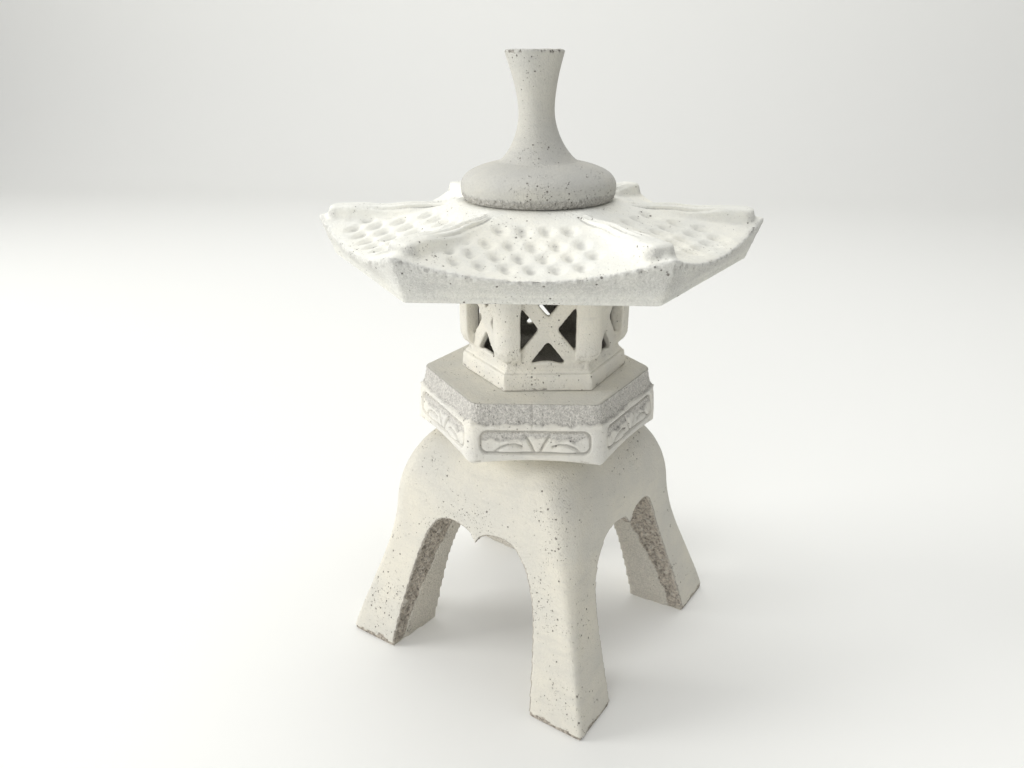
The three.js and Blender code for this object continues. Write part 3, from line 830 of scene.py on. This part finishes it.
def make_roof(material):
    roof = object_of("roof_casting", roof_shell())
    cast_skin(roof, cell=1.25, rounds=2)
    raise_ridges(roof)
    cast_skin(roof, cell=1.19, rounds=2)
    carve(roof, roof_wear)
    stand(roof, "roof", material, turn=ROOF_TURN)


# ---- finial

BUN_RADIUS = 46.5
BUN_HEIGHT = 19
BUN_WIDEST = 8
STEM_FOOT = (24, 22)
NECK = (10.6, 50)
FINIAL_TOP_RADIUS = 17.1
STEM_LEAN = (-2.4, -1.6)
FINIAL_HEIGHT = FINIAL_TOP - FINIAL_FOOT
SPIN_STEPS = 120


def finial_outline():
    """Points from the axis at the foot, out round the bun and up the stem to the axis again."""
    height = FINIAL_HEIGHT
    rim = FINIAL_TOP_RADIUS
    line = [Vector((0, 0)), Vector((BUN_RADIUS - 3.8, 0))]
    line += bezier([line[-1], (BUN_RADIUS - 1.2, 0.6), (BUN_RADIUS, 4), (BUN_RADIUS, BUN_WIDEST)], 12)
    line += bezier([line[-1], (BUN_RADIUS, 16.5), (BUN_RADIUS - 12, BUN_HEIGHT + 1), STEM_FOOT], CURVE_STEPS)
    line += bezier([line[-1], (20, 23.6), (NECK[0] + 0.1, NECK[1] - 15), NECK], CURVE_STEPS)
    line += bezier([line[-1], (NECK[0], 60), (rim - 3.7, 70), (rim, height - 1.4)], CURVE_STEPS)
    line += bezier([line[-1], (rim + 0.2, height - 0.3), (rim - 0.9, height), (rim - 2.5, height)], 6)
    line.append(Vector((0, height)))
    return line


def finial_wear(point, normal):
    up = point.z - FINIAL_FOOT
    down = FINIAL_HEIGHT - up
    radius = math.hypot(point.x, point.y)
    skirt = ease(6.4, 3.6, up + 1.0 * lumps(point, 5)) * ease(36, 40, radius)
    rim = ease(2.6, 0.6, abs(down - 0.6)) * ease(12.5, 14.5, radius)
    chips = rim * ease(-0.05, 0.35, rubble(point, 3.4, 1.0))
    crumbs = skirt * (0.75 * lumps(point, 1.8, 4.0) - 0.25)
    swells = 0.22 * lumps(point, 16) * ease(0, 3, up)
    off_foot = 1 - ease(-0.8, -0.95, normal.z)
    top_face = ease(0.8, 0.95, normal.z) * ease(3, 1, down)
    hollow = 0.5 * top_face * (0.5 + lumps(point, 6, 3.0))
    move = (swells + crumbs) * off_foot - 1.1 * chips - hollow
    return move, max(0.3 * skirt, 0.9 * chips), 0.1 + 0.8 * skirt


def make_finial(material):
    bm = bmesh.new()
    line = [bm.verts.new((p.x, 0, p.y)) for p in finial_outline()]
    edges = [bm.edges.new(pair) for pair in zip(line, line[1:])]
    bmesh.ops.spin(
        bm,
        geom=line + edges,
        cent=(0, 0, 0),
        axis=(0, 0, 1),
        angle=math.tau,
        steps=SPIN_STEPS,
        use_merge=True,
    )
    for v in bm.verts:
        climb = max(v.co.z - BUN_HEIGHT, 0) / (FINIAL_HEIGHT - BUN_HEIGHT)
        v.co.x += STEM_LEAN[0] * climb
        v.co.y += STEM_LEAN[1] * climb
    bmesh.ops.translate(bm, vec=(0, 0, FINIAL_FOOT), verts=bm.verts)
    finial = object_of("finial_casting", bm)
    cast_skin(finial, cell=0.65, rounds=2)
    carve(finial, finial_wear)
    stand(finial, "finial", material)


# ---- cement finishes


NODE_COLUMN = 190
NODE_ROW = 170
ROWS = 5


class Nodes:
    """Places nodes in a tree and links them, left to right."""

    def __init__(self, tree):
        self.tree = tree
        self.count = 0

    def add(self, kind, **settings):
        node = self.tree.nodes.new(kind)
        node.location = (self.count * NODE_COLUMN, -(self.count % ROWS) * NODE_ROW)
        self.count += 1
        for name, value in settings.items():
            setattr(node, name, value)
        return node

    def link(self, source, target):
        self.tree.links.new(source, target)

    def fill(self, socket, value):
        """Links a socket to another one, or sets its value."""
        if isinstance(value, bpy.types.NodeSocket):
            self.link(value, socket)
        else:
            socket.default_value = value

    def work(self, operation, first, second=0.0, third=0.0, clamp=False):
        """One step of arithmetic on values."""
        node = self.add("ShaderNodeMath", operation=operation, use_clamp=clamp)
        for socket, value in zip(node.inputs, (first, second, third)):
            self.fill(socket, value)
        return node.outputs[0]

    def step(self, value, low, high, out_low=0.0, out_high=1.0):
        """A soft step from out_low to out_high as a value goes from low to high."""
        node = self.add("ShaderNodeMapRange", interpolation_type="SMOOTHSTEP")
        for name, given in (("Value", value), ("From Min", low), ("From Max", high)):
            self.fill(node.inputs[name], given)
        node.inputs["To Min"].default_value = out_low
        node.inputs["To Max"].default_value = out_high
        return node.outputs["Result"]

    def mix(self, share, first, second):
        """The first colour, and the share given of the second over it."""
        node = self.add("ShaderNodeMix", data_type="RGBA", clamp_factor=True)
        self.fill(node.inputs[0], share)
        self.fill(node.inputs[6], first)
        self.fill(node.inputs[7], second)
        return node.outputs[2]

    def cloud(self, vector, scale, detail=3.0, roughness=0.55):
        """Noise about a half, with that many lumps to the metre."""
        node = self.add("ShaderNodeTexNoise")
        self.fill(node.inputs["Vector"], vector)
        self.fill(node.inputs["Scale"], scale)
        node.inputs["Detail"].default_value = detail
        node.inputs["Roughness"].default_value = roughness
        return node.outputs["Fac"]


def new_group(name, inputs, outputs):
    """An empty node group with named sockets, and its two end nodes."""
    group = bpy.data.node_groups.new(name, "ShaderNodeTree")
    for socket, kind in inputs:
        group.interface.new_socket(name=socket, in_out="INPUT", socket_type=kind)
    for socket, kind in outputs:
        group.interface.new_socket(name=socket, in_out="OUTPUT", socket_type=kind)
    nodes = Nodes(group)
    start = nodes.add("NodeGroupInput")
    end = nodes.add("NodeGroupOutput")
    return group, nodes, start, end


VALUE = "NodeSocketFloat"
VECTOR = "NodeSocketVector"
HOLE_CLUSTERS = 38.0  # lumps to the metre, as all the scales below are
COARSE_SAND = 430.0
FINE_SAND = 1050.0
SAND_TINT = 820.0
CLOUDS = 24.0
SMEARS = 42.0
SMEAR_STRETCH = 4.5
STONES = 420.0
TORN_CEMENT = 480.0


def air_holes_group():
    """Round holes left by air against the mould, in clusters. Mask is 1 in a hole."""
    group, nodes, start, end = new_group(
        "air_holes", [("Vector", VECTOR), ("Scale", VALUE), ("Share", VALUE)], [("Mask", VALUE)]
    )
    cells = nodes.add("ShaderNodeTexVoronoi", feature="F1")
    nodes.link(start.outputs["Vector"], cells.inputs["Vector"])
    nodes.link(start.outputs["Scale"], cells.inputs["Scale"])
    chance = nodes.add("ShaderNodeSeparateColor")
    nodes.link(cells.outputs["Color"], chance.inputs[0])
    clusters = nodes.cloud(start.outputs["Vector"], HOLE_CLUSTERS, detail=2.0)
    crowd = nodes.step(clusters, 0.44, 0.68, 0.12, 2.6)
    share = nodes.work("MULTIPLY", crowd, start.outputs["Share"])
    chosen = nodes.work("LESS_THAN", chance.outputs[0], share)
    size = nodes.work("MULTIPLY_ADD", chance.outputs[1], 0.22, 0.12)
    inside = nodes.work("SUBTRACT", size, cells.outputs["Distance"])
    round_hole = nodes.step(inside, -0.02, 0.10)
    mask = nodes.work("MULTIPLY", round_hole, chosen)
    nodes.link(mask, end.inputs["Mask"])
    return group


def sand_group():
    """Sand grains in the cement's face: height and tint, both about a half."""
    group, nodes, start, end = new_group("sand", [("Vector", VECTOR)], [("Height", VALUE), ("Tint", VALUE)])
    vector = start.outputs["Vector"]
    coarse = nodes.cloud(vector, COARSE_SAND, detail=2.0, roughness=0.6)
    fine = nodes.cloud(vector, FINE_SAND, detail=1.0)
    height = nodes.work("MULTIPLY_ADD", fine, 0.45, nodes.work("MULTIPLY", coarse, 0.55))
    nodes.link(height, end.inputs["Height"])
    nodes.link(nodes.cloud(vector, SAND_TINT, detail=2.0, roughness=0.7), end.inputs["Tint"])
    return group


def mottle_group():
    """Soft clouds where the cement dried unevenly, with faint smears. Both are about a half."""
    group, nodes, start, end = new_group(
        "mottle", [("Vector", VECTOR)], [("Clouds", VALUE), ("Smears", VALUE)]
    )
    vector = start.outputs["Vector"]
    nodes.link(nodes.cloud(vector, CLOUDS, detail=4.0, roughness=0.6), end.inputs["Clouds"])
    drawn = nodes.add("ShaderNodeMapping")
    drawn.inputs["Scale"].default_value = (1.0, 1.0, SMEAR_STRETCH)
    nodes.link(vector, drawn.inputs["Vector"])
    nodes.link(nodes.cloud(drawn.outputs[0], SMEARS), end.inputs["Smears"])
    return group


def rubble_group():
    """Torn cement where the mould's flash was knocked out: height, tint, and hollows to paint with shade."""
    group, nodes, start, end = new_group(
        "rubble", [("Vector", VECTOR)], [("Height", VALUE), ("Tint", VALUE), ("Hollow", VALUE)]
    )
    vector = start.outputs["Vector"]
    stones = nodes.add("ShaderNodeTexVoronoi", feature="F1")
    nodes.link(vector, stones.inputs["Vector"])
    stones.inputs["Scale"].default_value = STONES
    torn = nodes.cloud(vector, TORN_CEMENT, detail=4.0, roughness=0.65)
    height = nodes.work("SUBTRACT", torn, nodes.work("MULTIPLY", stones.outputs["Distance"], 0.5))
    nodes.link(height, end.inputs["Height"])
    nodes.link(torn, end.inputs["Tint"])
    nodes.link(nodes.step(torn, 0.44, 0.30), end.inputs["Hollow"])
    return group


# painted shade inside the air holes
HOLE_SHADE_COLOUR = (0.12, 0.10, 0.08, 1.0)
# painted shade in the hollows of the torn cement
HOLLOW_SHADE_COLOUR = (0.10, 0.085, 0.07, 1.0)
SPECKS_FINER = 1.8
SPECKS_MORE = 1.6
SANDY_ROUGHER = 2.4
RUBBLE_ROUGHER = 5.0
HOLE_SINK = -2.6
BUMP_DISTANCE = 0.0006
BUMP_STRENGTH = 0.9
CEMENT_SHINE = 0.32
FINISHES = {  # clean colour, colour of sandy faces and of painted shade, share of air holes, cells to the metre, sand's depth
    "base_finish": ((0.72, 0.70, 0.63), (0.54, 0.505, 0.445), 0.12, 480, 1.1),
    "collar_finish": ((0.78, 0.765, 0.71), (0.62, 0.60, 0.555), 0.08, 520, 0.9),
    # the chamber's dark sandy colour is painted shade for its inner faces
    "chamber_finish": ((0.83, 0.81, 0.74), (0.26, 0.245, 0.215), 0.13, 520, 1.1),
    "roof_finish": ((0.90, 0.90, 0.84), (0.49, 0.485, 0.465), 0.06, 460, 1.1),
    "finial_finish": ((0.59, 0.585, 0.545), (0.46, 0.45, 0.42), 0.12, 560, 0.7),
}


def tint(colour, red, green=None, blue=None):
    """An opaque colour, with each channel times its share, or all of them times the first."""
    shares = (red, green or red, blue or red)
    return tuple(min(c * share, 1.0) for c, share in zip(colour, shares)) + (1.0,)


def cement(name, groups, clean, sand_and_shade, holes, hole_scale, sand_depth):
    """Cast cement, with its clean colour and that of its bare sandy face, which also paints shade
    inside the arches and the chamber. holes is the share of cells that hold an air hole, and
    sand_depth how rough its face feels."""
    material = bpy.data.materials.new(name)
    material.use_nodes = True
    tree = material.node_tree
    tree.nodes.clear()
    nodes = Nodes(tree)
    vector = nodes.add("ShaderNodeTexCoord").outputs["Object"]
    masks = {}
    for mask in ("broken", "sand_and_shade", "worn"):
        masks[mask] = nodes.add("ShaderNodeAttribute", attribute_name=mask).outputs["Fac"]

    def placed(group):
        node = nodes.add("ShaderNodeGroup")
        node.node_tree = groups[group]
        nodes.link(vector, node.inputs["Vector"])
        return node

    pits = placed("air_holes")
    pits.inputs["Scale"].default_value = hole_scale
    pits.inputs["Share"].default_value = holes
    specks = placed("air_holes")
    specks.inputs["Scale"].default_value = hole_scale * SPECKS_FINER
    specks.inputs["Share"].default_value = holes * SPECKS_MORE
    sand = placed("sand")
    mottle = placed("mottle")
    torn = placed("rubble")

    # the clean face: clouds, smears and sand grains
    dark = tint(clean, 0.80)
    clouds = nodes.step(mottle.outputs["Clouds"], 0.30, 0.72)
    colour = nodes.mix(clouds, tint(clean, 0.91), tint(clean, 1.05, 1.03, 0.985))
    smears = nodes.step(mottle.outputs["Smears"], 0.52, 0.74, 0.0, 0.35)
    colour = nodes.mix(smears, colour, dark)
    grains = nodes.step(sand.outputs["Tint"], 0.34, 0.66)
    # the sandy colour also paints shade on the arches' reveals and inside the chamber
    colour = nodes.mix(masks["sand_and_shade"], colour, nodes.mix(grains, tint(sand_and_shade, 0.74), tint(sand_and_shade, 1.16)))
    speckle = nodes.step(sand.outputs["Tint"], 0.46, 0.28, 0.0, 0.45)
    colour = nodes.mix(speckle, colour, dark)

    # the broken face, with painted shade in its hollows
    stones = nodes.step(torn.outputs["Tint"], 0.36, 0.62)
    broken = nodes.mix(stones, tint(sand_and_shade, 0.66, 0.63, 0.61), tint(sand_and_shade, 1.18, 1.14, 1.10))
    hollows = nodes.work("MULTIPLY", torn.outputs["Hollow"], 0.6)
    broken = nodes.mix(hollows, broken, HOLLOW_SHADE_COLOUR)
    broken_share = nodes.step(masks["broken"], 0.15, 0.6)
    colour = nodes.mix(broken_share, colour, broken)

    # edges rubbed pale, creases dark, and painted shade in the air holes
    edge = nodes.step(masks["worn"], 0.03, 0.16, 0.0, 0.35)
    colour = nodes.mix(edge, colour, tint(clean, 1.12))
    crease = nodes.step(masks["worn"], -0.03, -0.16, 0.0, 0.5)
    colour = nodes.mix(crease, colour, tint(sand_and_shade, 0.55))
    shallow = nodes.work("MULTIPLY", specks.outputs["Mask"], 0.6)
    holed = nodes.work("MAXIMUM", pits.outputs["Mask"], shallow)
    holed = nodes.work("MULTIPLY", holed, nodes.step(broken_share, 0.0, 1.0, 1.0, 0.3))
    colour = nodes.mix(nodes.work("MULTIPLY", holed, 0.72), colour, HOLE_SHADE_COLOUR)

    rough_sand = nodes.work("MULTIPLY_ADD", masks["sand_and_shade"], SANDY_ROUGHER, sand_depth)
    height = nodes.work("MULTIPLY", sand.outputs["Height"], rough_sand)
    rough_rubble = nodes.work("MULTIPLY", torn.outputs["Height"], broken_share)
    height = nodes.work("MULTIPLY_ADD", rough_rubble, RUBBLE_ROUGHER, height)
    height = nodes.work("MULTIPLY_ADD", holed, HOLE_SINK, height)
    bump = nodes.add("ShaderNodeBump")
    bump.inputs["Strength"].default_value = BUMP_STRENGTH
    bump.inputs["Distance"].default_value = BUMP_DISTANCE
    nodes.link(height, bump.inputs["Height"])

    shine = nodes.work("MULTIPLY_ADD", clouds, 0.06, 0.80)
    shine = nodes.work("MULTIPLY_ADD", masks["sand_and_shade"], 0.10, shine, clamp=True)
    shader = nodes.add("ShaderNodeBsdfPrincipled")
    shader.inputs["Specular IOR Level"].default_value = CEMENT_SHINE
    nodes.link(colour, shader.inputs["Base Color"])
    nodes.link(shine, shader.inputs["Roughness"])
    nodes.link(bump.outputs["Normal"], shader.inputs["Normal"])
    out = nodes.add("ShaderNodeOutputMaterial")
    nodes.link(shader.outputs[0], out.inputs["Surface"])
    return material


# ---- studio

CAMERA_PLACE = (0.2647, -0.4119, 0.3721)
CAMERA_TURN = 34.62
CAMERA_TILT = 68.28
CAMERA_ROLL = -0.18
CAMERA_LENS = 28.09
FLOOR_REACH = 7.0
FLOOR_BACK = 1.9
SWEEP_RADIUS = 0.7
SWEEP_STEPS = 16
WALL_TOP = 4.0
WALL_TURN = CAMERA_TURN - 8
LIT_POINT = (0, 0, 0.2)
LIGHTS = {  # place, size of its square, power in watts, colour
    "left_window": ((-2.0, -1.45, 0.95), 1.0, 36.0, (1.0, 0.995, 0.985)),
    "ceiling": ((-0.3, 0.3, 2.3), 2.0, 29.0, (1.0, 1.0, 0.995)),
    "front_fill": ((0.5, -2.4, 0.80), 1.4, 15.0, (1.0, 1.0, 1.0)),
}
SKY_COLOUR = (0.985, 0.99, 1.0, 1.0)
SKY_STRENGTH = 0.34
FLOOR_ROUGHNESS = 0.7
FLOOR_SHINE = 0.2
FLOOR_COLOUR = (0.85, 0.85, 0.82, 1.0)
FLOOR_GLOW = (1.0, 1.0, 0.985, 1.0)
FLOOR_GLOW_STRENGTH = 0.09


def floor_finish():
    material = bpy.data.materials.new("pale_floor")
    material.use_nodes = True
    shader = material.node_tree.nodes["Principled BSDF"]
    shader.inputs["Base Color"].default_value = FLOOR_COLOUR
    shader.inputs["Roughness"].default_value = FLOOR_ROUGHNESS
    shader.inputs["Specular IOR Level"].default_value = FLOOR_SHINE
    shader.inputs["Emission Color"].default_value = FLOOR_GLOW
    shader.inputs["Emission Strength"].default_value = FLOOR_GLOW_STRENGTH
    return material


def make_floor():
    """The floor, which sweeps up into a wall well behind the lantern."""
    line = [Vector((0, -FLOOR_REACH, 0)), Vector((0, FLOOR_BACK, 0))]
    for step in range(1, SWEEP_STEPS + 1):
        angle = step / SWEEP_STEPS * math.pi / 2
        back = FLOOR_BACK + SWEEP_RADIUS * math.sin(angle)
        line.append(Vector((0, back, SWEEP_RADIUS * (1 - math.cos(angle)))))
    line.append(Vector((0, FLOOR_BACK + SWEEP_RADIUS, WALL_TOP)))
    bm = bmesh.new()
    verts = [bm.verts.new(point + Vector((-FLOOR_REACH, 0, 0))) for point in line]
    edges = [bm.edges.new(pair) for pair in zip(verts, verts[1:])]
    grown = bmesh.ops.extrude_edge_only(bm, edges=edges)["geom"]
    bmesh.ops.translate(bm, vec=(2 * FLOOR_REACH, 0, 0), verts=new_verts(grown))
    bmesh.ops.rotate(bm, matrix=Matrix.Rotation(math.radians(WALL_TURN), 3, "Z"), verts=bm.verts)
    for face in bm.faces:
        face.smooth = True
    mesh = bpy.data.meshes.new("floor")
    bm.to_mesh(mesh)
    bm.free()
    mesh.materials.append(floor_finish())
    link_new("floor", mesh)


def make_lights():
    for name, (place, size, power, colour) in LIGHTS.items():
        lamp = bpy.data.lights.new(name, "AREA")
        lamp.shape = "SQUARE"
        lamp.size = size
        lamp.energy = power
        lamp.color = colour
        holder = link_new(name, lamp)
        holder.location = place
        aim = Vector(LIT_POINT) - Vector(place)
        holder.rotation_euler = aim.to_track_quat("-Z", "Y").to_euler()
        holder.visible_camera = False
    world = bpy.data.worlds.new("pale_room")
    world.use_nodes = True
    sky = world.node_tree.nodes["Background"]
    sky.inputs["Color"].default_value = SKY_COLOUR
    sky.inputs["Strength"].default_value = SKY_STRENGTH
    bpy.context.scene.world = world


def make_camera():
    camera = bpy.data.cameras.new("camera")
    camera.sensor_width = 36.0
    camera.lens = CAMERA_LENS
    camera.clip_start = 0.01
    holder = link_new("camera", camera)
    turn = Matrix.Rotation(math.radians(CAMERA_TURN), 4, "Z")
    tilt = Matrix.Rotation(math.radians(CAMERA_TILT), 4, "X")
    roll = Matrix.Rotation(math.radians(CAMERA_ROLL), 4, "Z")
    holder.matrix_world = Matrix.Translation(CAMERA_PLACE) @ turn @ tilt @ roll
    bpy.context.scene.camera = holder


# ---- the whole lantern

make_camera()
make_lights()
make_floor()
bpy.context.scene.view_settings.view_transform = "Standard"

groups = {
    "air_holes": air_holes_group(),
    "sand": sand_group(),
    "mottle": mottle_group(),
    "rubble": rubble_group(),
}
finishes = {name: cement(name, groups, *values) for name, values in FINISHES.items()}

make_base(finishes["base_finish"])
make_collar(finishes["collar_finish"])
make_chamber(finishes["chamber_finish"])
make_roof(finishes["roof_finish"])
make_finial(finishes["finial_finish"])

bpy.context.view_layer.update()
